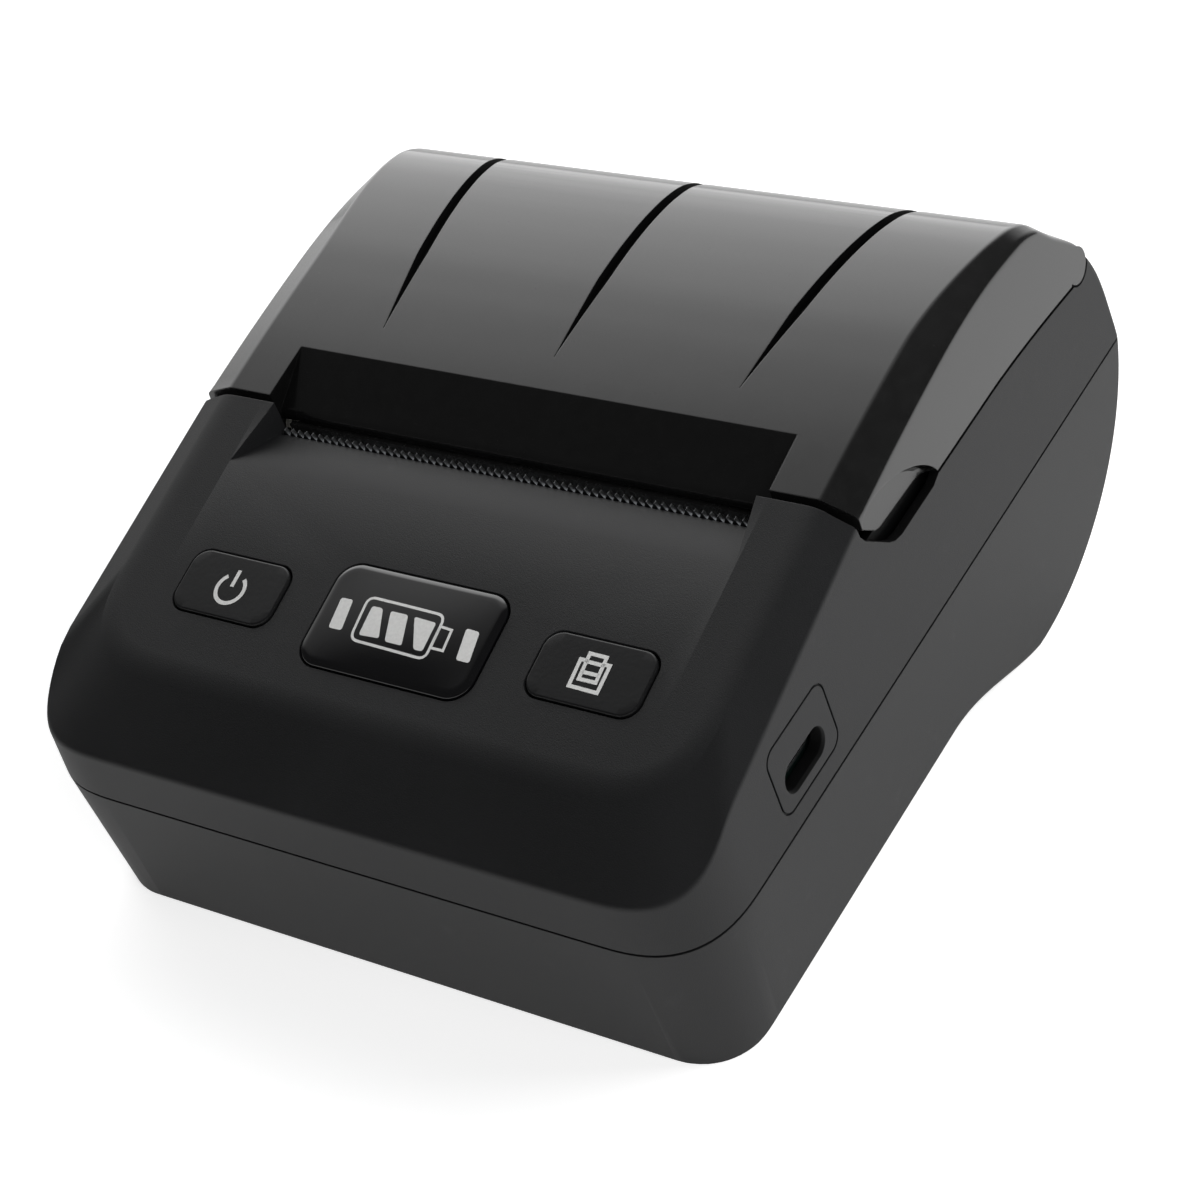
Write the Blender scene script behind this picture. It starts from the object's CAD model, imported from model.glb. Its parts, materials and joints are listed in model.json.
"""Portable thermal printer: moulded case, smoky roll lid, keys and indicator window.

Shapes are worked out in the case frame (X right, Y from the front wall to the back, Z up from
the parting plane), in metres, and are then turned into the frame in which the printer stands.
"""

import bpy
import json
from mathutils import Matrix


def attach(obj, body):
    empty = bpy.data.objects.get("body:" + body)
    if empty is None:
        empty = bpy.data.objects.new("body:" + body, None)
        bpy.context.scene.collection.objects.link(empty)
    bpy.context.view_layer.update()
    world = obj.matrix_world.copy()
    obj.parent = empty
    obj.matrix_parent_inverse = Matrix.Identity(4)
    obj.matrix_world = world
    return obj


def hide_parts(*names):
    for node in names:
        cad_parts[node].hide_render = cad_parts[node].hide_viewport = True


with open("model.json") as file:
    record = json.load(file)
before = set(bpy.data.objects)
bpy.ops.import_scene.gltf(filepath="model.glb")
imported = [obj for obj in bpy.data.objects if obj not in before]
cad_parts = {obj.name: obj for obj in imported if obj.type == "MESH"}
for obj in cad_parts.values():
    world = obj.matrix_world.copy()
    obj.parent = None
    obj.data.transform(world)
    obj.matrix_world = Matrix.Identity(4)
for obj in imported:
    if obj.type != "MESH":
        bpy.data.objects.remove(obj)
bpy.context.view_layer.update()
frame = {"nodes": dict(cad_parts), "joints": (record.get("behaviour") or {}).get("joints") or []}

import json
import math

import bmesh
import bpy
import numpy as np
from bpy.props import FloatProperty, FloatVectorProperty, PointerProperty
from mathutils import Matrix, Vector

bl_info = {
    "name": "Portable thermal printer",
    "version": (1, 0, 0),
    "blender": (4, 5, 0),
    "location": "View3D > Sidebar > Printer",
    "description": "Makes the case, roll lid, keys and window of a portable printer",
    "category": "Add Mesh",
}

MM = 0.001
CLEAR = 0.04 * MM  # keeps the walls seen from above off those of the side view
SIDE_LOW, SIDE_UP = 0.07, 0.062  # draft of the side walls, below and above the parting plane
FRONT_LOW, FRONT_UP = 0.065, 0.03  # draft of the front wall
UNDER, HIGH, OVER = -3 * MM, 36 * MM, 60 * MM  # heights that cutters reach
BACK, BEHIND, OUT = 128 * MM, 140 * MM, 70 * MM  # and how far back and out they reach
PLATEN = np.array((61.5, 17.5)) * MM  # (y, z) of the platen's axis in the case frame
HINGE_INSET = 1.4 * MM  # of the hinge's axis inside the belly circle
KNUCKLE, BOSS, PIN_BORE, PIN_REACH = 2.6 * MM, 3.6 * MM, 1.3 * MM, 50 * MM


def length(name, description, value):
    """A length property given in millimetres and kept in metres."""
    return FloatProperty(name=name, description=description, default=value * MM, unit="LENGTH")


def angle(name, description, value):
    """An angle property given in degrees and kept in radians."""
    return FloatProperty(name=name, description=description, default=math.radians(value),
                         subtype="ANGLE")


def colour(name, description, *value):
    """A linear colour property."""
    return FloatVectorProperty(name=name, description=description, default=value, subtype="COLOR",
                               size=3, min=0, max=1)


class CaseSizes(bpy.types.PropertyGroup):
    """Sizes of the two case halves."""

    width: length("Width", "Width at the parting plane", 110)
    wall: length("Wall", "Thickness of the moulded walls", 2)
    corner: length("Corner radius", "Upright front corners, seen from above", 11)
    edge: length("Edge radius", "Rounding of the lower front edge", 0.7)
    boss_inset: length("Boss inset", "Distance of the screw bosses from the walls, halved", 1.5)
    rim: length("Side rim", "Rounding of the side walls' long edges", 1.0)
    depth: length("Base depth", "Depth of the lower half below the parting plane", 23)
    belly: length("Belly radius", "Radius of the belly under the paper roll", 31.5)
    belly_y: length("Belly centre", "Middle of the belly, behind the front wall", 93)
    belly_z: length("Belly height", "Middle of the belly, above the parting plane", -0.3)
    blend_y: length("Blend start", "Where the flat underside turns into the belly", 64)
    gap: length("Seam", "Gap between the halves and round the lid", 0.4)
    crease: length("Crease height", "Crease along the front wall", 8.2)
    panel_z: length("Panel height", "Panel plane above the front wall's foot", 12.6)
    panel_half: length("Panel half width", "Half width of the flat panel", 48.4)
    panel_front: length("Panel front", "Front edge of the flat panel", 12)
    shoulder: length("Shoulder drop", "Fall of the shoulder beside the panel", 2.4)
    slope: angle("Panel slope", "Tilt of the control panel", 14.9)


class LidSizes(bpy.types.PropertyGroup):
    """Sizes of the roll lid."""

    front: length("Front edge", "Front edge of the lid", 54.9)
    front_gap: length("Front gap", "Gap between the panel and the lid", 1.1)
    seam: length("Side seam", "Height of the seam along the sides", 17.2)
    top: length("Top", "Highest point of the crown", 32.9)
    wall: length("Wall", "Thickness of the lid", 2)
    chamfer: length("Chamfer", "Fall of the band beside the crown, at the front", 1.9)
    chamfer_back: length("Rear chamfer", "Fall of that band further back", 2.1)
    spread: length("Spread", "How much wider the crown is at the rear", 2.6)
    bead: length("Bead", "Radius of the hinge bead", 2.7)
    drop: length("Seam drop", "Fall of the side seam towards the hinge", 1.9)
    lip_half: length("Lip half width", "Half width of the paper exit", 40.85)
    slot_pitch: length("Slot pitch", "Distance between the slots at their points", 29.4)
    slot_front: length("Slot points", "Where the slots start", 69.2)
    slot_width: length("Slot width", "Widest opening of a slot", 1.8)
    slot_depth: length("Slot depth", "Deepest part of a slot", 1.6)
    scoop_depth: length("Scoop depth", "Depth of the finger scoops", 1.5)
    scoop_tilt: angle("Scoop tilt", "Fall of the scoops to the back", 24)


class PanelSizes(bpy.types.PropertyGroup):
    """Sizes of the keys, the indicator window and the port; rows are behind the front wall."""

    key_x: length("Key place", "Distance of a key from the middle", 29.4)
    key_y: length("Key row", "Place of the keys", 25.5)
    key_long: length("Key length", "Length of a key", 17)
    key_deep: length("Key depth", "Depth of a key", 9.6)
    key_corner: length("Key corner", "Corner radius of a key", 2.6)
    key_proud: length("Key rise", "How far the keys stand proud", 0.3)
    window_y: length("Window row", "Place of the window", 25.3)
    window_long: length("Window length", "Length of the window", 27.8)
    window_deep: length("Window depth", "Depth of the window", 15.9)
    window_corner: length("Window corner", "Corner radius of the window", 3.4)
    window_dome: length("Dome", "Rise of the domed window", 0.8)
    port_y: length("Port place", "Place of the charging port", 30.2)
    port_z: length("Port height", "Charging port above the parting plane", 7.1)


class Colours(bpy.types.PropertyGroup):
    """Colours of the finishes."""

    case: colour("Case", "Matt black of the case", 0.0100, 0.0102, 0.0108)
    lid: colour("Lid", "Smoky tint of the lid", 0.0062, 0.0062, 0.0062)
    inside: colour("Inner plastic", "Black of the inner mouldings", 0.0065, 0.0066, 0.0070)
    gloom: colour("Grooves", "Black of grooves and gaps", 0.0022, 0.0022, 0.0023)
    print_white: colour("Marks", "White of the printed marks", 0.66, 0.66, 0.65)
    metal: colour("Metal", "Plated steel", 0.46, 0.47, 0.48)
    nylon: colour("Nylon", "Natural nylon of the gears", 0.72, 0.70, 0.64)
    board: colour("Board", "Black solder mask of the boards", 0.004, 0.010, 0.008)


def sizes(group="case"):
    """The settings of one group: case, lid, panel or colours."""
    return getattr(bpy.context.scene, "printer_" + group)


# Outlines and curves in the case frame


def arc(y, z, radius, start, end, count):
    """Circle points: (y, z) + radius * (cos a, sin a), a running from start to end in degrees."""
    a = np.radians(np.linspace(start, end, count))
    return np.column_stack((y + radius * np.cos(a), z + radius * np.sin(a)))


def disc(x, y, radius, count=32):
    """Circle points about (x, y)."""
    return arc(x, y, radius, 0, 360 * (1 - 1 / count), count)


def rounded_rectangle(a, b, half_a, half_b, radius, steps=12):
    """Rectangle about (a, b) whose corners are quarter circles, centre + r * (cos t, sin t)."""
    return np.concatenate([
        arc(a + u * half_a - u * radius, b + v * half_b - v * radius, radius, t, t + 90, steps)
        for u, v, t in ((-1, -1, 180), (1, -1, 270), (1, 1, 0), (-1, 1, 90))])


def unit(vectors):
    """Vectors divided by their lengths."""
    return vectors / np.linalg.norm(vectors, axis=1, keepdims=True)


def normals(line):
    """Unit normals of a line of (y, z) points: (dz, -dy) over the length of (dy, dz)."""
    way = unit(np.gradient(line, axis=0))
    return np.column_stack((way[:, 1], -way[:, 0]))


def bend(p, corner, q, t):
    """Curve from p to q that heads for a corner: (1-t)^2 p + 2t(1-t) corner + t^2 q."""
    return (1 - t) ** 2 * p + 2 * t * (1 - t) * corner + t ** 2 * q


def soften(rings, radii, steps=6):
    """Rounds the corners between rings with bends that start and end a radius away from the
    corner, towards the rings before and after it."""
    rings = np.asarray(rings, float)
    t = np.linspace(0, 1, steps + 1)[:, None, None]
    made = [rings[:1]]
    for k in range(1, len(rings) - 1):
        corner = rings[k][None]
        p, q = (corner + way * np.minimum(
            radii[k] / np.linalg.norm(way, axis=2, keepdims=True), 0.49)
            for way in (rings[k - 1][None] - corner, rings[k + 1][None] - corner))
        made.append(bend(p, corner, q, t) if radii[k] > 0 else corner)
    return np.concatenate([*made, rings[-1:]])


def smooth(x, low, high):
    """Smooth step 3t^2 - 2t^3, t being the clamped share of x between low and high."""
    t = np.clip((x - low) / (high - low), 0, 1)
    return t * t * (3 - 2 * t)


def crown_curve(points, count):
    """Smooth line through the points: a Hermite cubic on each span, with slopes taken from the
    neighbours, (p2 - p0) / (s2 - s0), s being the length along the chords."""
    p = np.asarray(points, float)
    s = np.concatenate(([0], np.cumsum(np.linalg.norm(np.diff(p, axis=0), axis=1))))
    slope = np.gradient(p, s, axis=0)
    x = np.linspace(0, s[-1], count)
    k = np.clip(np.searchsorted(s, x, "right") - 1, 0, len(s) - 2)
    h = (s[k + 1] - s[k])[:, None]
    t = ((x - s[k])[:, None]) / h
    return ((2 * t ** 3 - 3 * t ** 2 + 1) * p[k] + (t ** 3 - 2 * t ** 2 + t) * h * slope[k]
            + (3 * t ** 2 - 2 * t ** 3) * p[k + 1] + (t ** 3 - t ** 2) * h * slope[k + 1])


# The stance: how the case frame stands on the table


def turned(y, z, turn):
    """(y, z) turned about X: (y cos a - z sin a, y sin a + z cos a)."""
    c, s = math.cos(turn), math.sin(turn)
    return c * y - s * z, s * y + c * z


def hinge_place():
    """Hinge line: a little inside the belly circle, at the height of the side seam."""
    c, seam = sizes(), sizes("lid").seam
    return c.belly_y + math.sqrt(c.belly ** 2 - (seam - c.belly_z) ** 2) - HINGE_INSET, seam


def stance():
    """Turn about X and shift that carry the platen and the hinge to where the joints are."""
    joints = {j["name"]: np.array(j["pos_m"][1:]) for j in frame["joints"] if "pos_m" in j}
    hinge = np.array(hinge_place())
    was, now = hinge - PLATEN, joints["lid_hinge"] - joints["platen_spin"]
    turn = math.atan2(now[1], now[0]) - math.atan2(was[1], was[0])
    return turn, joints["lid_hinge"] - np.array(turned(*hinge, turn))


def stand(points):
    """Case frame to standing frame: turned about X, then shifted."""
    turn, shift = stance()
    p = np.asarray(points, float).reshape(-1, 3)
    y, z = turned(p[:, 1], p[:, 2], turn)
    return np.column_stack((p[:, 0], y + shift[0], z + shift[1]))


# Meshes


def quads(rows, cols, closed=True):
    """Corner numbers of the quads between the rings of a grid, each ring closed or open."""
    i, j = np.meshgrid(np.arange(rows - 1), np.arange(cols if closed else cols - 1),
                       indexing="ij")
    k = (j + 1) % cols
    return np.stack((i * cols + j, i * cols + k, (i + 1) * cols + k, (i + 1) * cols + j),
                    -1).reshape(-1, 4)


def mesh_object(name, points, faces, merge, solid=True):
    """Object from case-frame points and faces; doubles are merged, and a solid's faces turned
    outwards."""
    mesh = bpy.data.meshes.new(name)
    mesh.from_pydata(stand(points).tolist(), [], faces)
    tool = bmesh.new()
    tool.from_mesh(mesh)
    bmesh.ops.remove_doubles(tool, verts=tool.verts, dist=merge)
    if solid:
        bmesh.ops.dissolve_degenerate(tool, edges=tool.edges, dist=1e-7)
        bmesh.ops.recalc_face_normals(tool, faces=tool.faces)
    tool.to_mesh(mesh)
    tool.free()
    obj = bpy.data.objects.new(name, mesh)
    bpy.context.scene.collection.objects.link(obj)
    return obj


def shell_of(name, rings):
    """A skin over rings of points, one quad between each four points, end rings filled."""
    rings = np.asarray(rings, float)
    rows, cols = rings.shape[:2]
    ends = [list(range(cols))[::-1], list(range((rows - 1) * cols, rows * cols))]
    return mesh_object(name, rings, quads(rows, cols).tolist() + ends, 1e-6)


def at_x(outline, x):
    """Outline of (y, z) points placed at x, which may differ from point to point."""
    outline = np.asarray(outline, float)
    return np.column_stack((np.broadcast_to(x, len(outline)), outline))


def along_x(name, outline, x0, x1):
    """Outline of (y, z) points carried straight from x0 to x1."""
    return shell_of(name, [at_x(outline, x) for x in (x0, x1)])


def across(name, outline, half):
    """Outline of (y, z) points carried from -half to half, one number or one for each point."""
    return along_x(name, outline, -half, half)


def along_z(name, outline, z0, z1):
    """Outline of (x, y) points carried straight from z0 to z1."""
    return shell_of(name, [np.column_stack((outline, np.full(len(outline), z)))
                           for z in (z0, z1)])


def block(name, y0, z0, y1, z1, x0, x1=None):
    """A box from (y0, z0) to (y1, z1), carried from x0 to x1, or from -x0 to x0."""
    outline = [(y0, z0), (y1, z0), (y1, z1), (y0, z1)]
    return across(name, outline, x0) if x1 is None else along_x(name, outline, x0, x1)


def slab(name, z0, z1):
    """A wide slab between two heights."""
    r = 150 * MM
    return along_z(name, [(-r, -r), (r, -r), (r, 2 * r), (-r, 2 * r)], z0, z1)


def cut(obj, *others, how="DIFFERENCE"):
    """Takes each of the other bodies away; they are used up and pass on their materials."""
    for other in others:
        tool = obj.modifiers.new("cut", "BOOLEAN")
        tool.material_mode = "TRANSFER"
        tool.operation, tool.object, tool.solver = how, other, "MANIFOLD"
        shape = obj.evaluated_get(bpy.context.evaluated_depsgraph_get())
        made = bpy.data.meshes.new_from_object(shape)
        if len(made.polygons) == 0:
            raise RuntimeError(f"{obj.name}: {how} with {other.name} left nothing")
        obj.modifiers.clear()
        spent = obj.data, other.data
        obj.data = made
        bpy.data.objects.remove(other)
        for mesh in spent:
            bpy.data.meshes.remove(mesh)
    obj.data.name = obj.name
    return obj


def join(obj, *others):
    """Adds each of the other bodies."""
    return cut(obj, *others, how="UNION")


def keep(obj, *others):
    """Keeps what the body shares with each of the others."""
    return cut(obj, *others, how="INTERSECT")


def painted(obj, material):
    """Gives a body its first material."""
    obj.data.materials.append(material)
    return obj


def finish_shape(obj, material, body, node, sharp=28):
    """Shading, material, body, the node that the piece stands for and its slot; edges between
    two materials or over the sharp angle, in degrees, stay crisp."""
    mesh = obj.data
    if mesh.materials:
        mesh.materials[0] = material
    else:
        mesh.materials.append(material)
    mesh.shade_smooth()
    mesh.set_sharp_from_angle(angle=math.radians(sharp))
    tool = bmesh.new()
    tool.from_mesh(mesh)
    for edge in tool.edges:
        if len({face.material_index for face in edge.link_faces}) > 1:
            edge.smooth = False
    tool.to_mesh(mesh)
    tool.free()
    tool = obj.modifiers.new("normals", "WEIGHTED_NORMAL")
    tool.keep_sharp, tool.weight = True, 100
    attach(obj, body)
    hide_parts(node)


# Bodies of the case


def panel_z(y):
    """Height of the panel plane: foot + y * tan(slope)."""
    c = sizes()
    return c.panel_z + y * math.tan(c.slope)


def side_x(z):
    """Half width with draft: half - |z| * draft, steeper below the parting plane."""
    z = np.asarray(z, float)
    return sizes().width / 2 - np.abs(z) * np.where(z < 0, SIDE_LOW, SIDE_UP)


def case_outline(skin):
    """Side view: front wall, flat underside, hollow curve, belly circle, a skin depth inside;
    behind, the circle swells by up to 1.3 mm."""
    c = sizes()
    bottom, front = skin - c.depth, skin + c.depth * FRONT_LOW
    r = max(c.edge - skin, c.edge / 8)
    belly = c.belly - skin
    corner = arc(front + r, bottom + r, r, 180, 270, 9)
    lead = arc(c.belly_y, c.belly_z, belly, 266, 360, 49)
    t = np.linspace(0, 1, 24, endpoint=False)[:, None]
    rise = t * t * (1 + 1.2 * (1 - t))
    start = np.array((c.blend_y, bottom))
    hollow = np.column_stack((start[0] + t * (lead[0, 0] - start[0]),
                              start[1] + rise * (lead[0, 1] - start[1])))
    rear = arc(c.belly_y, c.belly_z, belly, 0, 40, 33)[1:]
    turn = np.arctan2(rear[:, 1] - c.belly_z, rear[:, 0] - c.belly_y)
    swell = 1.3 * MM * smooth(turn, math.radians(6), math.radians(30))
    rear = rear + np.column_stack((np.cos(turn), np.sin(turn))) * swell[:, None]
    return np.concatenate(([(skin, 0)], corner, hollow, lead, rear,
                           [(rear[-1, 0], HIGH), (HIGH * FRONT_UP + skin, HIGH)]))


def profile_body(name, skin):
    """The side view carried across the width; edge rings step in by r(1 - cos a) and
    r(1 - sin a); the end rings stand proud, so that the drafted walls of the plan cut them."""
    rim, proud = sizes().rim, 3 * MM
    half = []
    for a in np.radians(np.linspace(0, 90, 8)):
        o = case_outline(skin + rim * (1 - math.sin(a)))
        half.append(at_x(o, side_x(o[:, 1]) - skin - rim * (1 - math.cos(a))))
    half.insert(0, half[0] + (proud, 0, 0))
    return shell_of(name, [ring * (-1, 1, 1) for ring in half] + half[::-1])


def plan_ring(half, front, radius, height, steps=20):
    """View from above with soft front corners, reach (cos t^(2/n), sin t^(2/n)) with a reach
    of 1.4 radius; height is a function of x and y."""
    reach, power = 1.4 * radius, 2 / 2.8
    t = np.radians(np.linspace(0, 90, steps))
    u, v = reach * (1 - np.cos(t) ** power), reach * (1 - np.sin(t) ** power)
    left = np.column_stack((u - half, front + v))
    o = np.concatenate((left, left[::-1] * (-1, 1), [(half, BACK), (-half, BACK)]))
    return np.column_stack((o, height(o[:, 0], o[:, 1])))


def plan_body(name, skin):
    """Drafted walls with round front corners, from below the belly to above the lid."""
    c = sizes()
    return shell_of(name, [
        plan_ring(side_x(z) - skin + CLEAR, abs(z) * draft + skin,
                  c.corner + SIDE_LOW * min(z, 0) - skin, lambda x, y: np.full(len(x), z))
        for z, draft in ((-HIGH, FRONT_LOW), (0, FRONT_UP), (HIGH + 1 * MM, FRONT_UP))])


def front_block(name, skin):
    """Wall, crease, shoulder and panel as rings seen from above, each lifted to its height:
    crease z = mix(crease, panel(y) - shoulder, smooth(y)), panel z = foot + y tan(slope)."""
    c = sizes()

    def crease_z(x, y):
        share = smooth(y, 0, 1.4 * c.corner)
        return c.crease + (panel_z(y) - c.shoulder - c.crease) * share - skin

    def flat_z(x, y):
        return panel_z(y) - skin

    base = plan_ring(side_x(0) - UNDER * SIDE_UP - skin + CLEAR, skin + UNDER * FRONT_UP,
                     c.corner - skin, lambda x, y: np.full(len(x), UNDER))
    crease = plan_ring(side_x(c.crease) - skin + CLEAR, FRONT_UP * c.crease + skin,
                       c.corner - skin, crease_z)
    beside = np.abs(crease[:, 0]) > c.width / 2 - c.corner
    crease[:, 0] -= beside * np.sign(crease[:, 0]) * (crease[:, 2] + skin - c.crease) * SIDE_UP
    top = plan_ring(c.panel_half - skin, c.panel_front + skin, c.corner, flat_z)
    if skin:
        return shell_of(name, [base, crease, top])
    margin = 7 * MM
    inner = plan_ring(c.panel_half - margin, c.panel_front + margin, c.corner * 0.6, flat_z)
    return shell_of(name, soften([base, crease, top, inner], [0, 0.7 * MM, 2.2 * MM, 0], 8))


def deck_cut(name, skin):
    """Prism over the deck before the tear bar; its end walls lean in by a + b y + c z."""
    low, high, fall = 43.8 * MM, 56.6 * MM, -0.221
    o = np.array([(low - skin, panel_z(low) - skin),
                  (high, panel_z(low) + fall * (high - low) - skin), (high, HIGH),
                  (low - skin, HIGH)])
    return across(name, o, 42.66 * MM - 0.163 * o[:, 0] + 0.24 * np.minimum(o[:, 1], 27 * MM)
                  + skin)


def on_panel(x, y, u, v, w):
    """Panel frame to case frame: u across, v up the slope, w out of the panel."""
    slope = sizes().slope
    co, si = math.cos(slope), math.sin(slope)
    u, v, w = np.broadcast_arrays(u, v, w)
    return np.stack((x + u, y + v * co - w * si, panel_z(y) + v * si + w * co), -1)


def panel_plate(name, x, y, long, deep, corner, levels):
    """Rounded plate in the panel frame; levels are pairs of margin and height."""
    rings = []
    for margin, w in levels:
        o = rounded_rectangle(0, 0, long / 2 - margin, deep / 2 - margin,
                              max(corner - margin, 0.2 * MM))
        rings.append(on_panel(x, y, o[:, 0], o[:, 1], w))
    return shell_of(name, rings)


# The lid's side edge and the case's notch under it, as (y, z) in mm; then its body and cutters

TAB_EDGE = ((54.9, 23.1), (55.4, 22.5), (59.2, 19.1), (60.3, 18.75), (69.9, 18.45),
            (71.8, 18.0), (73.2, 17.4))
NOTCH_EDGE = ((53.8, 24.4), (53.95, 22.9), (54.7, 21.6), (59.3, 17.35), (60.5, 16.6),
              (62.3, 16.2), (71.6, 16.3), (73.4, 17.0))
# The crown as shares of its length, and of its rise in front or of the fall behind
CROWN_RISE = np.array(((0, 0), (.06, .145), (.15, .352), (.239, .536), (.349, .742),
                       (.459, .912), (.568, 1), (.6575, .985), (.73, .89), (.799, .68),
                       (.852, .32)))
CROWN_FALL = np.array(((.903, .829), (.949, .53), (.976, .32), (.994, .11), (1, 0)))


def side_seam(edge, gap):
    """Line along the sides through the points of an edge, then the level seam that falls
    towards the hinge by drop * t^1.6, moved by a gap."""
    lid = sizes("lid")
    y, z = hinge_place()
    start, t = 90 * MM, np.linspace(0, 1, 12)
    return [*(np.array(edge) * MM), *np.column_stack(
        (start + (y - lid.bead - start) * t, z + gap - lid.drop * t ** 1.6))]


def crown(skin, count=72):
    """Lengthwise line of the lid's crown down to the rear seam, moved in along its normal."""
    lid = sizes("lid")
    span, z0 = hinge_place()[0] + lid.bead - lid.front, panel_z(lid.front)
    line = crown_curve(np.concatenate([
        np.column_stack((lid.front + points[:, 0] * span, low + points[:, 1] * (high - low)))
        for points, low, high in ((CROWN_RISE, z0, lid.top), (CROWN_FALL, lid.seam, z0))]), count)
    return line + normals(line) * skin if skin else line


def lid_body(name, skin, low):
    """Crown rings across the width: full height in the middle, lowered at the side faces by
    the chamfer, mix(front, back, smooth), which ends at the rear seam; the crown's edge moves
    out by the spread, and the corner between chamfer and side face is rounded."""
    lid = sizes("lid")
    along = np.linspace(0, 1, 72)[:, None]
    share = smooth(along, 0.34, 0.74)
    fall = (lid.chamfer + (lid.chamfer_back - lid.chamfer) * share) * (
        1 - 0.72 * smooth(along, 0.62, 0.85) - 0.28 * smooth(along, 0.88, 1))
    mid = crown(skin)
    inward = normals(mid)
    edge = mid + inward * fall
    lower = edge + inward * (1.2 * MM * (1 - 0.6 * smooth(along, 0.93, 1)))
    inner = sizes().panel_half - skin / 2 + lid.spread * share[:, 0]

    def ring(line, side, at_side=True):
        first = min(lid.front, line[0, 0]) - (3 * MM if skin else 0)
        o = np.concatenate(([(first, line[0, 1])], line[1:], [(line[-1, 0], low), (first, low)]))
        return at_x(o, side * (side_x(o[:, 1]) - skin if at_side else
                               np.append(inner, (inner[-1], inner[0]))))

    rings = [ring(lower, -1), ring(edge, -1), ring(mid, -1, False),
             ring(mid, 1, False), ring(edge, 1), ring(lower, 1)]
    return shell_of(name, rings if skin else
                    soften(rings, [0, 0.8 * MM, 0.4 * MM, 0.4 * MM, 0.8 * MM, 0]))


def lip_cut(name, skin):
    """Sloping recess at the lid's front with a rounded lower edge; the end walls stand at
    half + lean (z - plane z)."""
    front, nose, lean = 47.6 * MM, 0.9 * MM, 0.2
    low, high = np.array((55.35, 23.78)) * MM, np.array((64.9, 29.75)) * MM
    way = (high - low) / np.linalg.norm(high - low)
    low, high = (q + np.array((way[1], -way[0])) * skin for q in (low, high))
    curve = bend(low - (0, nose), low, low + way * nose, np.linspace(0, 1, 9)[:, None])
    o = np.concatenate(([(front, 0), (low[0], 0)], curve,
                        [high, (high[0], HIGH), (front, HIGH)]))
    plane = low[1] + (o[:, 0] - low[0]) * way[1] / way[0]
    return across(name, o, sizes("lid").lip_half
                  + lean * np.clip(o[:, 1] - plane, 0, 4 * MM) + skin)


def slot_groove(name, offset):
    """Groove following the crown; width and depth grow with the share of its length."""
    lid = sizes("lid")
    line = crown(0, 110)
    line = line[line[:, 0] > lid.slot_front]
    inward = normals(line)
    share = np.linspace(0, 1, len(line))
    wide = lid.slot_width / 2 * np.clip(4 * share, 0.05, 1)
    deep = lid.slot_depth * np.clip(0.25 + 3 * share, 0, 1)
    over = np.full(len(line), 2 * MM)
    x = offset + np.sign(offset) * 0.13 * (line[:, 0] - lid.slot_front)
    sides = [at_x(line - inward * w[:, None], x + u) for u, w in (
        (-wide, over), (wide, over), (wide * 0.9, -deep), (-wide * 0.9, -deep))]
    return shell_of(name, np.stack(sides, 1))


# Finishes: shader maths as Python expressions


def maths(operation, reflected=False):
    """A method that adds the Math node of an operator, or of its reflected form."""
    def method(signal, other):
        values = (other, signal) if reflected else (signal, other)
        return signal.finish.node("ShaderNodeMath", {"operation": operation}, *values)

    return method


class Signal:
    """A socket whose operators add the Math nodes for them."""

    def __init__(self, finish, socket):
        self.finish, self.socket = finish, socket

    __add__ = __radd__ = maths("ADD")
    __mul__ = __rmul__ = maths("MULTIPLY")
    __sub__, __rsub__ = maths("SUBTRACT"), maths("SUBTRACT", True)

    def ramp(self, low, high, at_low=0.0, at_high=1.0):
        """Smooth change from one value to another between two limits."""
        return self.finish.node("ShaderNodeMapRange", {"interpolation_type": "SMOOTHSTEP"},
                                self, low, high, at_low, at_high)


class Nodes:
    """A node tree whose nodes all come from one method."""

    def __init__(self, tree):
        self.tree = tree
        tree.nodes.clear()

    def join(self, target, value):
        """A link for a signal, a default for a value."""
        if isinstance(value, Signal):
            self.tree.links.new(value.socket, target)
        elif target.type == "RGBA" and len(value) == 3:
            target.default_value = (*value, 1)
        else:
            target.default_value = value

    def node(self, kind, settings=None, *values, output=None, **named):
        """A node of this kind: its settings first, then the values or links of the sockets
        in use, in order or by name; a low line stands for a space."""
        new = self.tree.nodes.new(kind)
        for key, value in (settings or {}).items():
            setattr(new, key, value)
        for socket, value in zip([i for i in new.inputs if i.enabled], values):
            self.join(socket, value)
        for key, value in named.items():
            self.join(new.inputs[key.replace("_", " ")], value)
        if new.outputs:
            return Signal(self, new.outputs[output] if output else
                          next(o for o in new.outputs if o.enabled))


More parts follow.
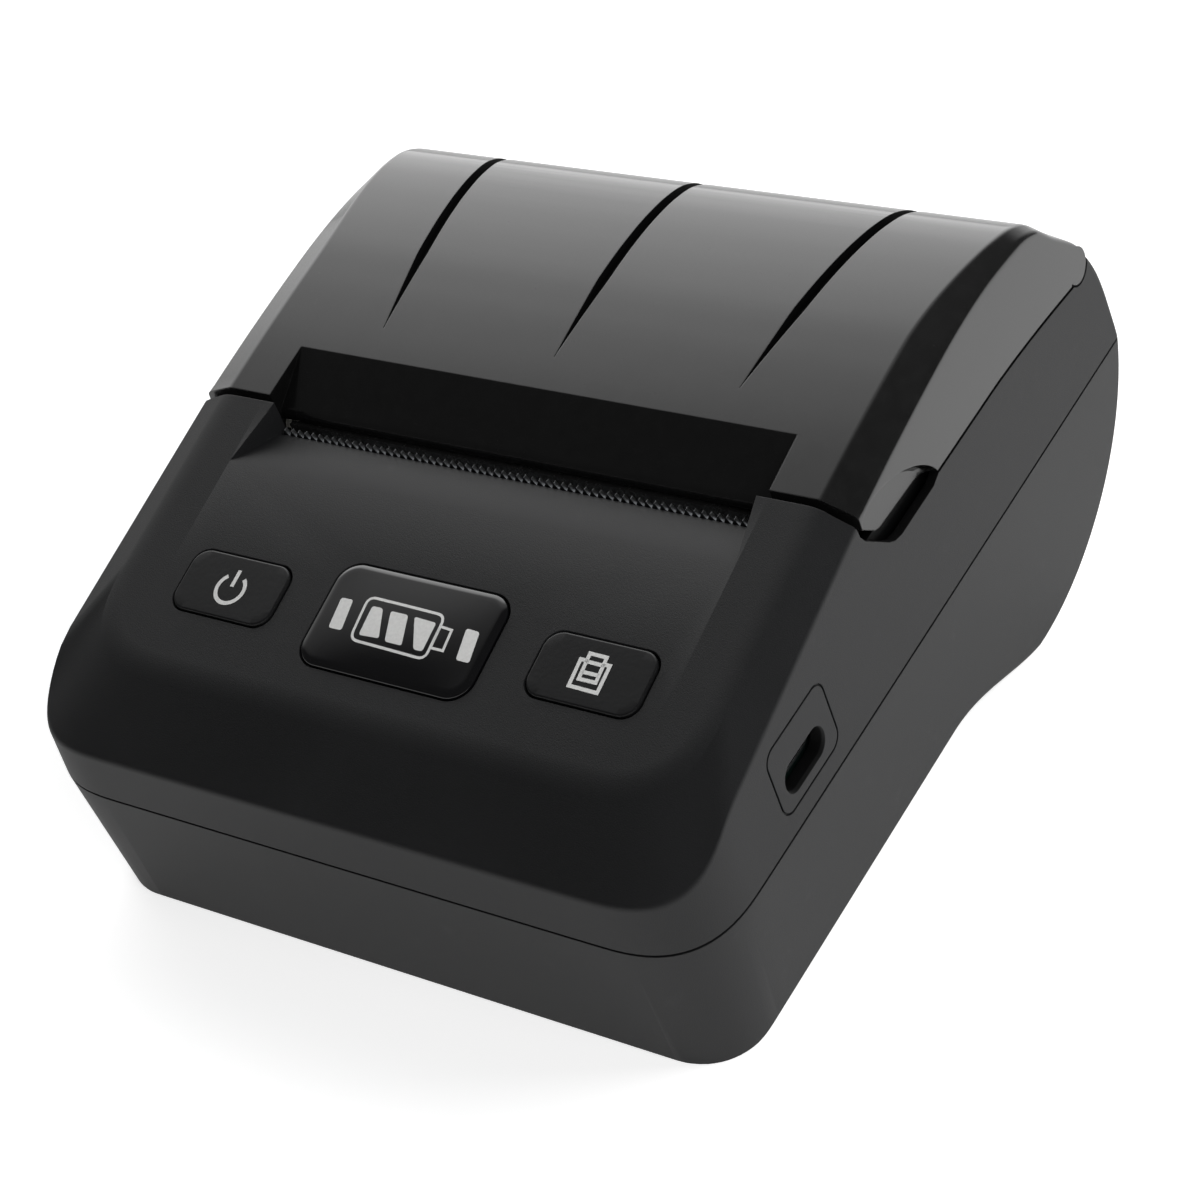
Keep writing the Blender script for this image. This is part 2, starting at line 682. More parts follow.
class Finish(Nodes):
    """A material with one Principled shader; plain values go straight to its sockets."""

    def __init__(self, name, **plain):
        self.material = bpy.data.materials.new(name)
        self.material.use_nodes = True
        super().__init__(self.material.node_tree)
        shader = self.node("ShaderNodeBsdfPrincipled")
        self.node("ShaderNodeOutputMaterial", None, shader)
        self.inputs = shader.socket.node.inputs
        self.set(**plain)

    def set(self, **values):
        """Gives sockets of the shader their values or links."""
        for key, value in values.items():
            self.join(self.inputs[key.replace("_", " ")], value)

    def place(self):
        """Object coordinates."""
        return self.node("ShaderNodeTexCoord", output="Object")

    def noise(self, scale, detail=2.0, rough=0.5, stretch=None):
        """Noise of so many cells to a metre, about 0.5 on average."""
        at = self.place()
        if stretch:
            at = self.node("ShaderNodeMapping", None, Vector=at, Scale=stretch)
        return self.node("ShaderNodeTexNoise", None, Vector=at, Scale=scale, Detail=detail,
                         Roughness=rough)

    def colour(self, share, base, low=1.0, high=1.0, other=None):
        """Base Color between base times low and base (or another colour) times high."""
        self.set(Base_Color=self.node("ShaderNodeMix", {"data_type": "RGBA"}, share,
                                      shade(base, low), shade(other or base, high)))

    def bump(self, height, distance, strength, edge=0.0):
        """Bump of a height signal, over edges rounded by a radius; gives the material."""
        named = {"Normal": self.node("ShaderNodeBevel", {"samples": 4}, edge)} if edge else {}
        self.set(Normal=self.node("ShaderNodeBump", None, Strength=strength, Distance=distance,
                                  Height=height, **named))
        return self.material


def shade(base, factor):
    """A colour times a factor, as a plain tuple."""
    return tuple(min(1.0, v * factor) for v in base)


def matt_case(name, base):
    """Spark-eroded black plastic: fine grain, faint handling marks, softly rounded edges."""
    f = Finish(name, IOR=1.46)
    grain, cloud = f.noise(5200, 3, 0.62), f.noise(34, 3, 0.55)
    wear = f.noise(260, 4, 0.6).ramp(0.60, 0.78)
    f.colour(cloud.ramp(0.25, 0.8), base, 0.86, 1.16)
    f.set(Roughness=0.47 + 0.05 * cloud + 0.05 * grain - 0.04 * wear)
    return f.bump(grain, 0.00006, 0.55, 0.15 * MM)


def smoky_lid(name, base):
    """Polished smoky plastic: clear coat gloss, slow waviness and faint hazing."""
    f = Finish(name, IOR=1.54, Coat_Roughness=0.03, Coat_IOR=1.5, Coat_Weight=0.4)
    wave, haze = f.noise(55), f.noise(420, 4, 0.65)
    dust = f.noise(2600).ramp(0.72, 0.8)
    f.colour(haze.ramp(0.3, 0.75), base, 0.9, 1.25)
    f.set(Roughness=0.2 + 0.07 * haze + 0.12 * dust)
    return f.bump(wave, 0.0006, 0.06, 0.25 * MM)


def plain_plastic(name, base, rough=0.42, edge=0.25):
    """Smooth moulded plastic with a slight orange peel."""
    f = Finish(name, IOR=1.47)
    peel, cloud = f.noise(1500), f.noise(60, 3, 0.6)
    f.colour(cloud.ramp(0.25, 0.8), base, 0.9, 1.12)
    f.set(Roughness=rough + 0.08 * cloud + 0.03 * peel)
    return f.bump(peel, 0.00003, 0.4, edge * MM)


def window_gloss(name):
    """Domed resin over black: very clear, with a hint of waviness."""
    f = Finish(name, Base_Color=(0.0025, 0.0025, 0.003), IOR=1.52, Coat_Weight=0.5,
               Coat_Roughness=0.02)
    f.set(Roughness=0.05 + 0.04 * f.noise(900, 3, 0.6))
    return f.bump(f.noise(160), 0.0002, 0.05)


def plated(name, base, rough=0.28, stretch=(1, 1, 1), scale=900):
    """Plated or brushed metal with drawn streaks."""
    f = Finish(name, Metallic=1.0)
    streak, spot = f.noise(scale, 4, 0.6, stretch), f.noise(150, 3)
    f.colour(streak.ramp(0.3, 0.7), base, 0.86, 1.12)
    f.set(Roughness=rough + 0.14 * streak + 0.06 * spot)
    return f.bump(streak, 0.00004, 0.3, 0.12 * MM)


def circuit_board(name, base):
    """Solder mask with slightly raised copper runs under it."""
    f = Finish(name, IOR=1.5)
    runs = f.node("ShaderNodeTexBrick", {"offset": 0.35, "squash": 1.6}, Vector=f.place(),
                  Scale=420.0, Mortar_Size=0.06, output="Fac")
    f.colour(runs, base, 0.8, 1.5)
    f.set(Roughness=0.3 + 0.12 * f.noise(70, 3))
    return f.bump(runs, 0.00005, 0.6)


def flecked(name, noise, limits, dark, light, rough, more, bump, **plain):
    """One noise for all: colour from dark to light, roughness rough + more * noise, and bump."""
    f = Finish(name, **plain)
    fleck = f.noise(*noise)
    f.colour(fleck.ramp(*limits), dark, other=light)
    f.set(Roughness=rough + more * fleck)
    return f.bump(fleck, *bump)


def ground_rubber(name):
    """Ground rubber of the platen: dull with fine rings."""
    return flecked(name, (1800, 3, 0.6, (1, 0.05, 0.05)), (0.3, 0.7), (0.012,) * 3,
                   (0.022,) * 3, 0.66, 0.15, (0.00006, 0.6), IOR=1.45)


def printed_white(name):
    """White ink with a slightly uneven film."""
    white = sizes("colours").print_white
    return flecked(name, (2400, 3, 0.6), (0.25, 0.75), shade(white, 0.94), shade(white, 1.06),
                   0.34, 0.1, (0.00002, 0.3), IOR=1.48, Coat_Weight=0.4, Coat_Roughness=0.05)


def wrapped_cell(name):
    """Shrink wrap over a flat cell pack, pulled in fine wrinkles."""
    return flecked(name, (240, 4, 0.6, (0.25, 1, 1)), (0.3, 0.75), (0.02, 0.06, 0.2),
                   (0.035, 0.1, 0.29), 0.26, 0.15, (0.0004, 0.5), IOR=1.5)


def glazed(name):
    """Dark glaze of the print head, faintly speckled."""
    return flecked(name, (1400, 3, 0.6), (0.3, 0.8), (0.012,) * 3, (0.02,) * 3, 0.2, 0.12,
                   (0.00003, 0.3), IOR=1.6)


# Pieces


def boss_places():
    """Middles of the four screw bosses."""
    c = sizes()
    x = c.width / 2 - c.wall - BOSS - 2 * c.boss_inset
    return [(side * x, y) for y in (c.corner, c.blend_y - BOSS) for side in (-1, 1)]


class PRINTER_OT_base(bpy.types.Operator):
    """Makes the lower case half with its belly and screw wells."""

    bl_idname = "printer.base"
    bl_label = "Lower case"

    def execute(self, context):
        c = sizes()
        case = keep(profile_body("lower_case", 0), plan_body("plan", 0))
        cut(case, slab("above", -c.gap / 2, OVER))
        cut(case, keep(profile_body("core", c.wall), plan_body("core_plan", c.wall)))
        bottom = -c.depth
        for place in boss_places():
            join(case, along_z("boss", disc(*place, BOSS), bottom + c.wall / 2,
                               -c.gap / 2 - 2 * c.wall))
            cut(case, along_z("bore", disc(*place, 1.7 * MM), bottom + UNDER, -UNDER),
                along_z("well", disc(*place, 2.9 * MM), bottom + UNDER, bottom + 2 * c.wall))
        finish_shape(case, matt_case("matt black, lower case", sizes("colours").case), "base",
                     "lower_shell")
        return {"FINISHED"}


class PRINTER_OT_top(bpy.types.Operator):
    """Makes the upper case half: panel, shoulder, deck, hinge cove and openings."""

    bl_idname = "printer.top"
    bl_label = "Upper case"

    def execute(self, context):
        c, lid, colours = sizes(), sizes("lid"), sizes("colours")
        self.gloom = plain_plastic("black, behind the tabs", colours.gloom, 0.6)
        paint = matt_case("matt black, upper case", colours.case)
        case = painted(front_block("upper_case", 0), paint)
        keep(case, profile_body("profile", 0))
        cut(case, slab("below", -OVER, c.gap / 2))
        # hollow inside, leaving a wall behind the panel and a ledge under the lid
        under_seam, front = lid.seam - c.gap / 2, lid.front - lid.front_gap
        core = keep(front_block("core", c.wall), profile_body("core_profile", c.wall))
        cut(core, deck_cut("deck_wall", c.wall), block(
            "rear_wall", front - c.wall, under_seam - c.wall, BEHIND, OVER, OUT))
        cut(case, core, deck_cut("deck", 0))
        self.lid_rooms(case, front, under_seam)
        self.tab_lips(case, front)
        self.hinge_cove(case)
        self.panel_openings(case)
        finish_shape(case, paint, "base", "upper_shell")
        return {"FINISHED"}

    def lid_rooms(self, case, front, under_seam):
        """The lid's space, the bay for the roll, and room for mechanism, gears and arms."""
        c, lid = sizes(), sizes("lid")
        y, z = hinge_place()
        seam = side_seam(NOTCH_EDGE, -c.gap / 2)
        edge = z - 0.25 * MM
        zone = [*seam, (y, seam[-1][1]), (y + 2.4 * MM, z - 1.75 * MM), (y + 4.4 * MM, edge),
                (BACK, edge), (BACK, OVER), (front, OVER)]
        cut(case, painted(across("lid_zone", zone, OUT), self.gloom))
        cut(case, block("step", front, under_seam - 2 * MM, BEHIND, OVER, 52.7 * MM))
        arm_back = 70.1 * MM
        cut(case, *[block(name, y0, UNDER, y1, z1, *x) for name, y0, y1, z1, *x in (
            ("bay", front, y - KNUCKLE, OVER, 41.75 * MM),
            ("tear_slot", 52.4 * MM, lid.front, OVER, 39.34 * MM),
            ("mechanism", 46 * MM, lid.front, 19.8 * MM, 43.1 * MM),
            ("gears", 36.2 * MM, arm_back, lid.seam + 1.4 * MM, -49.15 * MM, -41 * MM),
            ("left_arm", front, arm_back, OVER, -40.7 * MM, -45.3 * MM),
            ("right_arm", front, arm_back, OVER, 40.7 * MM, 45.3 * MM))])

    def tab_lips(self, case, front):
        """A lip on a foot behind the notch under each tab."""
        lid, wall, back = sizes("lid"), sizes().wall, 75 * MM
        foot = lid.seam - 3.6 * MM
        for side in (-1, 1):
            join(case, *[painted(bar, self.gloom) for bar in (
                block("lip_foot", front, foot - wall, back, foot,
                      side * 50.63 * MM, side * 52.6 * MM),
                block("lip", front, foot - wall + 0.1 * MM, back, lid.seam + 1.4 * MM,
                      side * 50.64 * MM, side * 51.64 * MM))])

    def hinge_cove(self, case):
        """Round cove for the bead, knuckles between its lugs and the bore of the pins."""
        y, z = hinge_place()
        cut(case, across("cove", disc(y, z, sizes("lid").bead + 0.3 * MM, 64), OUT))
        foot, foot_back = z - 4 * MM, y + 1.0 * MM
        for side in (-1, 1):
            knuckle = along_x("knuckle", [*arc(y, z, KNUCKLE, 0, 180, 20), (y - KNUCKLE, foot),
                                          (foot_back, foot)], side * 45.7 * MM, side * 49.7 * MM)
            join(case, keep(knuckle, profile_body("within", 0)))
        cut(case, across("pin_bore", disc(y, z, PIN_BORE), PIN_REACH))

    def panel_openings(self, case):
        """Holes for keys, window and charging port; their edges are pairs of margin and
        height in mm."""
        p, wall = sizes("panel"), sizes().wall
        key_gap, window_gap = 0.36 * MM, 0.3 * MM
        key_edge, seat_edge, well_edge = (np.array(edge) * MM for edge in (
            ((0, -4), (0, -0.2), (-0.12, 0), (-0.9, 2)),
            ((0, -1.4), (0, -0.25), (-0.12, 0), (-0.9, 2)), ((0, -4), (0, 2))))
        for side in (-1, 1):
            cut(case, panel_plate("key_hole", side * p.key_x, p.key_y, p.key_long + key_gap,
                                  p.key_deep + key_gap, p.key_corner, key_edge))
        cut(case, panel_plate("window_seat", 0, p.window_y, p.window_long + window_gap,
                              p.window_deep + window_gap, p.window_corner, seat_edge),
            panel_plate("window_well", 0, p.window_y, p.window_long - wall, p.window_deep - wall,
                        p.window_corner, well_edge))
        cut(case, painted(self.port_cut(p), self.gloom), painted(self.port_line(), self.gloom))

    def port_cut(self, p):
        """Stadium through the side wall, opening slightly outwards: pairs of x and growth."""
        half, high = 4.85 * MM, 2.1 * MM
        return shell_of("port", [
            at_x(rounded_rectangle(p.port_y, p.port_z, half + more, high + more,
                                   (high + more) * 0.98), x)
            for x, more in np.array(((51, 0), (54.3, 0), (54.75, 0.3), (57, 1.2))) * MM])

    def port_line(self):
        """Engraved outline round the port: a rounded plate less one a line's width smaller;
        middle, half sizes and corner are in mm."""
        y, z, half, tall, corner, line = 30.47, 8.54, 7.3, 5.39, 2.1, 0.17

        def plate(grow, inner, outer):
            o = rounded_rectangle(y * MM, z * MM, (half + grow) * MM, (tall + grow) * MM,
                                  (corner + grow) * MM)
            wall = side_x(o[:, 1])
            return along_x("port_line", o, wall + inner * MM, wall + outer * MM)

        return cut(plate(line, -0.35, 1), plate(-line, -1, 2))


class PRINTER_OT_lid(bpy.types.Operator):
    """Makes the smoky roll lid with its slots, paper lip and finger tabs."""

    bl_idname = "printer.lid"
    bl_label = "Roll lid"

    def execute(self, context):
        c, lid, colours = sizes(), sizes("lid"), sizes("colours")
        smoke = smoky_lid("smoky lid", colours.lid)
        gloss = smoky_lid("smoky lid, paper lip", shade(colours.lid, 0.5))
        gloom = plain_plastic("black, slots", colours.gloom, 0.6)
        y, z = hinge_place()
        cover = painted(lid_body("roll_lid", 0, 8 * MM), smoke)
        flange = [*side_seam(TAB_EDGE, c.gap / 2), (y, z), (BACK, z), (BACK, OVER),
                  (lid.front, OVER)]
        keep(cover, across("flange", flange, OUT))
        cut(cover, painted(lip_cut("lip", 0), gloss))
        hollow = cut(lid_body("hollow", lid.wall, 5 * MM), lip_cut("lip_wall", lid.wall))
        cut(cover, hollow, block("under_lip", 50.6 * MM, 0, 58.5 * MM, 22.3 * MM, 43.4 * MM),
            *[painted(slot_groove("slot", x), gloom)
              for x in (-lid.slot_pitch, 0, lid.slot_pitch)],
            *[self.scoop(side) for side in (-1, 1)])
        self.hinge_bead(cover, y, z)
        finish_shape(cover, smoke, "lid", "lid_cover", 22)
        return {"FINISHED"}

    def hinge_bead(self, cover, y, z):
        """Bead along the rear edge, gaps for the case's knuckles, a lug beside each gap and the
        bore of the pins."""
        lid, inner, high = sizes("lid"), 45.4 * MM, 5.2 * MM
        bead = disc(y, z, lid.bead, 64)
        join(cover, across("bead", bead, side_x(bead[:, 1])))
        for side in (-1, 1):
            cut(cover, along_x("clear", disc(y, z, lid.bead + 0.1 * MM, 64), side * inner,
                               side * 50 * MM))
            lug = along_x("lug", [*arc(y, z, KNUCKLE, 180, 360, 20), (y + KNUCKLE, z + high),
                                  (y - KNUCKLE, z + high)], side * 43 * MM, side * inner)
            join(cover, keep(lug, lid_body("within", lid.wall / 2, z - high)))
        cut(cover, across("pin_bore", disc(y, z, PIN_BORE), PIN_REACH))

    def scoop(self, side):
        """Finger scoop: ellipses (a cos t, b sin t) scale(depth), tilted, that grow smaller
        into the side wall and end in a flat floor."""
        lid = sizes("lid")
        y, z, a, b = 64.3 * MM, 19.3 * MM, 10.2 * MM, 4.5 * MM
        t = np.linspace(0, 2 * np.pi, 64, endpoint=False)
        rings = []
        for depth, scale in ((-1, 1.06), (0, 1), (0.5, 0.96), (0.85, 0.9), (1, 0.8)):
            o = turned(a * scale * np.cos(t), b * scale * np.sin(t), -lid.scoop_tilt)
            o = np.column_stack((y + o[0], z + o[1]))
            rings.append(at_x(o, side * (side_x(o[:, 1]) - depth * lid.scoop_depth)))
        return shell_of("scoop", rings)


def refine(path, closed, step=0.4 * MM):
    """A path with points added, a + (b - a) k / n, so that none is over a step from the next."""
    p = np.asarray(path, float)
    parts = []
    for a, b in zip(p, np.roll(p, -1, 0) if closed else p[1:]):
        n = max(1, math.ceil(np.linalg.norm(b - a) / step))
        parts.append(a + (b - a) * np.linspace(0, 1, n, endpoint=False)[:, None])
    return np.concatenate(parts if closed else [*parts, p[-1:]])


def stroke(path, half, closed=False):
    """Patch for a line of ink between two lines beside a path: p -/+ half * miter, with
    miter = (n0 + n1) / (1 + n0 . n1)."""
    p = refine(path, closed)
    step = np.roll(p, -1, 0) - p
    if not closed:
        step[-1] = step[-2]
    n = unit(np.column_stack((-step[:, 1], step[:, 0])))
    before = np.roll(n, 1, 0)
    if not closed:
        before[0] = n[0]
    miter = (n + before) / (1 + (n * before).sum(1, keepdims=True))
    return np.stack((p - half * miter, p + half * miter)), closed


def patch(outline):
    """Filled outline as six rings that shrink to its middle: outline (1-t) + middle t."""
    o = refine(outline, True)
    t = np.linspace(0, 1, 6)[:, None, None]
    return o[None] * (1 - t) + o.mean(0) * t, True


def printed_film(name, patches, x, y, height, material, body):
    """Ink patches, each a grid of (u, v) points, laid a hair above the surface height(u, v)."""
    hair = 0.012 * MM
    points, faces, start = [], [], 0
    for grid, closed in patches:
        u, v = grid[..., 0], grid[..., 1]
        points.append(on_panel(x, y, u, v, height(u, v) + hair).reshape(-1, 3))
        faces.append(quads(*grid.shape[:2], closed) + start)
        start += u.size
    film = mesh_object(name, np.concatenate(points), np.concatenate(faces).tolist(), 1e-7, False)
    mesh = film.data
    out = Vector((0, *turned(0, 1, stance()[0] + sizes().slope)))
    if sum(face.normal.dot(out) for face in mesh.polygons) < 0:
        mesh.flip_normals()
    mesh.materials.append(material)
    mesh.shade_smooth()
    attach(film, body)


def slope_points(x, y, *points):
    """Case-frame (x, y) places on the panel, in mm, as (u, v) from a middle (x, y)."""
    p = np.array(points) * MM
    return np.column_stack((p[:, 0] - x, (p[:, 1] - y) / math.cos(sizes().slope)))


class PRINTER_OT_keys(bpy.types.Operator):
    """Makes the power and feed keys and their printed symbols."""

    bl_idname = "printer.keys"
    bl_label = "Keys"

    def execute(self, context):
        p = sizes("panel")
        top, r, flare, foot = p.key_proud, 0.32 * MM, -1 * MM, -2.7 * MM
        a = np.radians(np.linspace(0, 90, 7))
        levels = [(flare, foot - 1.2 * MM), (flare, foot), (0, foot),
                  *zip(r * (1 - np.cos(a)), top - r + r * np.sin(a)), (1.5 * MM, top),
                  (3 * MM, top)]
        black = plain_plastic("satin black, keys", sizes("colours").inside, 0.25, 0.1)
        ink = printed_white("white ink, keys")
        keys = (("power", -p.key_x, self.power_symbol), ("feed", p.key_x, self.feed_symbol))
        for key, x, _ in keys:
            cap = panel_plate(key + "_key_cap", x, p.key_y, p.key_long, p.key_deep, p.key_corner,
                              levels)
            finish_shape(cap, black, key + "_key", key + "_button", 40)
        for key, x, symbol in keys:
            printed_film(key + "_symbol", symbol(x, p.key_y), x, p.key_y,
                         lambda u, v: np.full(u.shape, top), ink, key + "_key")
        return {"FINISHED"}

    def power_symbol(self, x, y):
        """Open ring with an upright bar."""
        centre, half, upright = slope_points(x, y, (-29.3, 25.2))[0], 0.3 * MM, 90
        ring = arc(*centre, 2.25 * MM, upright + 38, upright + 322, 49)
        bar = centre + np.column_stack((np.zeros(6), np.linspace(0.35, 3.0, 6))) * MM
        return [stroke(ring, half), stroke(bar, half)]

    def feed_symbol(self, x, y):
        """Tray with a sheet of paper and two lines on it."""
        half = 0.27 * MM
        return [stroke(slope_points(x, y, *line), half, closed) for line, closed in (
            (((28.15, 27.0), (27.1, 27.0), (27.24, 23.25), (31.55, 23.15), (31.5, 27.0),
              (30.6, 27.0)), False),
            (((27.98, 28.02), (30.52, 27.98), (30.7, 24.42), (28.14, 24.42)), True),
            (((28.1, 26.88), (30.6, 26.84)), False),
            (((28.2, 25.42), (30.6, 25.42)), False))]


class PRINTER_OT_window(bpy.types.Operator):
    """Makes the domed indicator window and its battery and light marks."""

    bl_idname = "printer.window"
    bl_label = "Indicator window"

    def execute(self, context):
        p = sizes("panel")
        a, b = p.window_long / 2, p.window_deep / 2

        def height(u, v):
            """Crown over the rounded rim: rim + rise (1 - (u/a)^2) (1 - (v/b)^2)."""
            return 0.62 * p.window_dome + 0.38 * p.window_dome * (1 - (u / a) ** 2) * (
                1 - (v / b) ** 2)

        def ring(margin, corner, lift=None):
            """Rounded rectangle a margin inside the rim, with more points along its sides,
            lifted by a share of the height or sunk as the foot."""
            o = rounded_rectangle(0, 0, a - margin, b - margin, corner, 14).reshape(4, 14, 2)
            t = np.linspace(0, 1, 22)[1:-1, None]
            sides = o[:, -1:] + t * (np.roll(o, -1, 0)[:, :1] - o[:, -1:])
            u, v = np.concatenate((o, sides), 1).reshape(-1, 2).T
            w = -1.1 * MM if lift is None else height(u, v) * lift
            return on_panel(0, p.window_y, u, v, w)

        rim = 1.0 * MM
        t = np.radians(np.linspace(0, 90, 10))
        margins = np.concatenate((rim * (1 - np.cos(t)), np.linspace(rim, b * 0.96, 16)[1:]))
        lens = shell_of("indicator_dome", [ring(0, p.window_corner), *(
            ring(m, max(p.window_corner - m, 0.3 * MM), s)
            for m, s in zip(margins, np.concatenate((np.sin(t), np.ones(15)))))])
        finish_shape(lens, window_gloss("black resin dome"), "base", "indicator_window",
                     50)
        printed_film("window_marks", self.marks(p.window_y), 0, p.window_y, height,
                     printed_white("white ink, window"), "base")
        return {"FINISHED"}

    def marks(self, y):
        """Battery outline with its terminal, three charge bars and two light fields."""
        battery = self.round_corners(slope_points(
            0, y, (-7.15, 28.5), (5.5, 28.3), (5.75, 21.85), (-6.65, 22.15)), 1.3 * MM)
        terminal = slope_points(0, y, (5.6, 26.7), (7.45, 26.6), (7.7, 23.6), (5.75, 23.6))
        return [stroke(battery, 0.2 * MM, True), stroke(terminal, 0.19 * MM, True), *(
            patch(self.round_corners(slope_points(0, y, *quad), 0.45 * MM)) for quad in (
                ((-11.29, 27.54), (-9.27, 27.57), (-8.61, 23.06), (-10.82, 23.05)),
                ((-5.88, 27.33), (-4.12, 27.31), (-2.38, 23.16), (-5.67, 22.99)),
                ((-2.75, 27.21), (0.11, 27.2), (1.47, 22.92), (-1.29, 22.93)),
                ((1.14, 27.18), (4.75, 27.05), (4.85, 22.83), (3.41, 22.81)),
                ((9.37, 27.33), (11.5, 27.26), (12.2, 22.86), (10.14, 22.84))))]

    def round_corners(self, corners, radius):
        """Each corner as a bend that starts and ends a radius away along the sides."""
        p, q = (corners + unit(np.roll(corners, k, 0) - corners) * radius for k in (1, -1))
        t = np.linspace(0, 1, 7)[None, :, None]
        return bend(p[:, None], corners[:, None], q[:, None], t).reshape(-1, 2)


class PRINTER_OT_inner(bpy.types.Operator):
    """Gives the parts that keep their own shape their finishes."""

    bl_idname = "printer.inner"
    bl_label = "Inner parts"

    def execute(self, context):
        colours = sizes("colours")
        metal = colours.metal
        for material, names in (
                (plated("stamped steel", metal, 0.34),
                 "mechanism_frame power_switch feed_switch feed_motor"),
                (plated("drawn steel", metal, 0.24, (0.05, 1, 1)),
                 "platen_shaft hinge_pin_left hinge_pin_right idler_stud motor_pinion "
                 "head_spring_left head_spring_right"),
                (plated("tear bar steel", metal, 0.3, scale=1500), "tear_bar"),
                (plated("port shell steel", shade(metal, 0.5), 0.34), "usb_c_receptacle"),
                (plated("screw steel", shade(metal, 0.4), 0.36),
                 "housing_screw_1 housing_screw_2 housing_screw_3 housing_screw_4"),
                (plated("extruded aluminium", (0.40, 0.41, 0.42), 0.36, (0.03, 1, 1)),
                 "head_heatsink"),
                (ground_rubber("ground rubber"), "platen_roller"),
                (plain_plastic("natural nylon", colours.nylon, 0.45, 0.1),
                 "platen_gear idler_gear platen_bush_left platen_bush_right"),
                (plain_plastic("diffusing plastic", (0.6, 0.6, 0.58), 0.5, 0.1), "light_guide"),
                (plain_plastic("black inner plastic", colours.inside, 0.44, 0.2),
                 "platen_carrier paper_tub paper_sensor"),
                (circuit_board("black board", colours.board), "main_board panel_board"),
                (wrapped_cell("blue cell wrap"), "battery_pack"),
                (glazed("glazed ceramic"), "print_head")):
            for name in names.split():
                slots = frame["nodes"][name].data.materials
                slots.clear()
                slots.append(material)
        return {"FINISHED"}


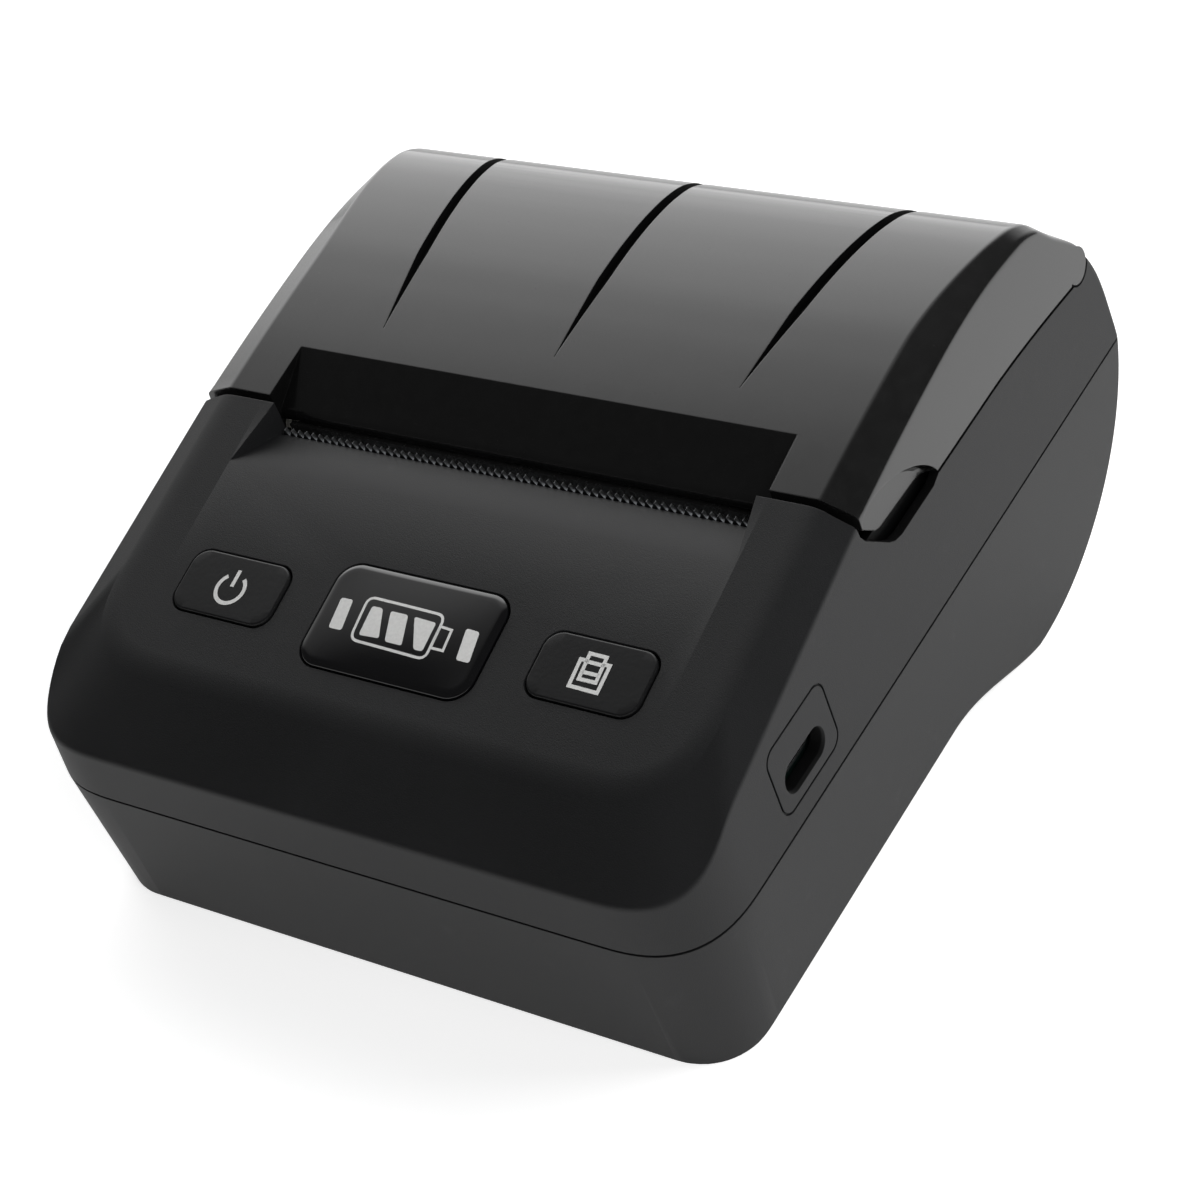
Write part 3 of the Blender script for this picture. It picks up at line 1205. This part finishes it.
class PRINTER_OT_stage(bpy.types.Operator):
    """Sets the pale floor, the soft light and the camera."""

    bl_idname = "printer.stage"
    bl_label = "Stage"

    camera_place = (213.333698, -161.525348, 252.362841)  # mm, in the case frame
    camera_aim = (-0.526891, 0.552333, -0.645999)
    camera_up = (-0.184967, 0.667326, 0.721431)
    focal_pixels = 2821.21
    picture_pixels = 1200

    def execute(self, context):
        context.scene.view_settings.view_transform = "Standard"
        self.floor()
        self.sky()
        self.lamp("front", (0.75, -0.5, 0.70), 6.5)
        self.lamp("side", (0.80, 0.60, 0.70), 10.0)
        self.camera()
        return {"FINISHED"}

    def added(self, name, data):
        """A new object in the scene."""
        obj = bpy.data.objects.new(name, data)
        bpy.context.scene.collection.objects.link(obj)
        return obj

    def floor(self):
        """Pale floor, shown white to the camera and in reflections, with the object's shadow."""
        r = 3.0
        mesh = bpy.data.meshes.new("floor")
        mesh.from_pydata([(-r, -r, 0), (r, -r, 0), (r, r, 0), (-r, r, 0)], [], [(0, 1, 2, 3)])
        f = Finish("pale floor", Base_Color=(0.8, 0.8, 0.8), Roughness=0.9,
                   Emission_Strength=1.0)
        seen, glossy = (f.node("ShaderNodeLightPath", output=name)
                        for name in ("Is Camera Ray", "Is Glossy Ray"))
        f.set(Emission_Color=0.62 * seen + 0.235 * glossy)
        mesh.materials.append(f.material)
        self.added("floor", mesh)

    def sky(self):
        """Bright cove to the rear left under a dark ceiling: floor level + near share + core
        share, both smooth steps of the angle to the middle of the cove."""
        world = bpy.data.worlds.new("cove")
        bpy.context.scene.world = world
        world.use_nodes = True
        sky = Nodes(world.node_tree)
        way = sky.node("ShaderNodeTexCoord", output="Generated")
        near = sky.node("ShaderNodeVectorMath", {"operation": "DOT_PRODUCT"}, way,
                        (-0.52, 0.74, 0.425))
        level = 0.06 + near.ramp(0.60, 0.78, 0, 0.54) + near.ramp(0.78, 0.93, 0, 1.4)
        sky.node("ShaderNodeOutputWorld", None, sky.node("ShaderNodeBackground", None, level))

    def lamp(self, name, place, power):
        """Square soft lamp that looks at the middle of the printer."""
        data = bpy.data.lights.new(name, "AREA")
        data.size, data.energy = 0.8, power
        lamp = self.added(name, data)
        lamp.location, lamp.visible_glossy = place, False
        aim = Vector((0, 0, 0.03)) - Vector(place)
        lamp.rotation_euler = aim.to_track_quat("-Z", "Y").to_euler()

    def camera(self):
        """Camera at the photograph's place, given in the case frame and stood up with it."""
        lean = Matrix.Rotation(stance()[0], 3, "X")
        aim, up = lean @ Vector(self.camera_aim), lean @ Vector(self.camera_up)
        right = aim.cross(up).normalized()
        up = right.cross(aim).normalized()
        data = bpy.data.cameras.new("camera")
        data.sensor_width = 36
        data.lens = self.focal_pixels / self.picture_pixels * data.sensor_width
        data.clip_start, data.clip_end = 0.01, 20
        camera = self.added("camera", data)
        place = Vector(stand(np.array(self.camera_place) * MM)[0])
        camera.matrix_world = (Matrix.Translation(place)
                               @ Matrix((right, up, -aim)).transposed().to_4x4())
        bpy.context.scene.camera = camera


class PRINTER_PT_panel(bpy.types.Panel):
    """Lists the pieces and the sizes that can be changed."""

    bl_label = "Portable printer"
    bl_idname = "PRINTER_PT_panel"
    bl_space_type = "VIEW_3D"
    bl_region_type = "UI"
    bl_category = "Printer"

    def draw(self, context):
        for operator in operators:
            self.layout.operator(operator.bl_idname)
        for group in groups:
            settings = getattr(context.scene, group)
            column = self.layout.column()
            for key in settings.__annotations__:
                column.prop(settings, key)


operators = (PRINTER_OT_stage, PRINTER_OT_base, PRINTER_OT_top, PRINTER_OT_lid, PRINTER_OT_keys,
             PRINTER_OT_window, PRINTER_OT_inner)
groups = {"printer_case": CaseSizes, "printer_lid": LidSizes, "printer_panel": PanelSizes,
          "printer_colours": Colours}
classes = (*groups.values(), *operators, PRINTER_PT_panel)


def register():
    for cls in classes:
        bpy.utils.register_class(cls)
    for name, group in groups.items():
        setattr(bpy.types.Scene, name, PointerProperty(type=group))


def unregister():
    for name in groups:
        delattr(bpy.types.Scene, name)
    for cls in reversed(classes):
        bpy.utils.unregister_class(cls)


def main():
    """Registers the add-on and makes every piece."""
    register()
    for operator in operators:
        group, name = operator.bl_idname.split(".")
        getattr(getattr(bpy.ops, group), name)()


if __name__ == "__main__":
    main()
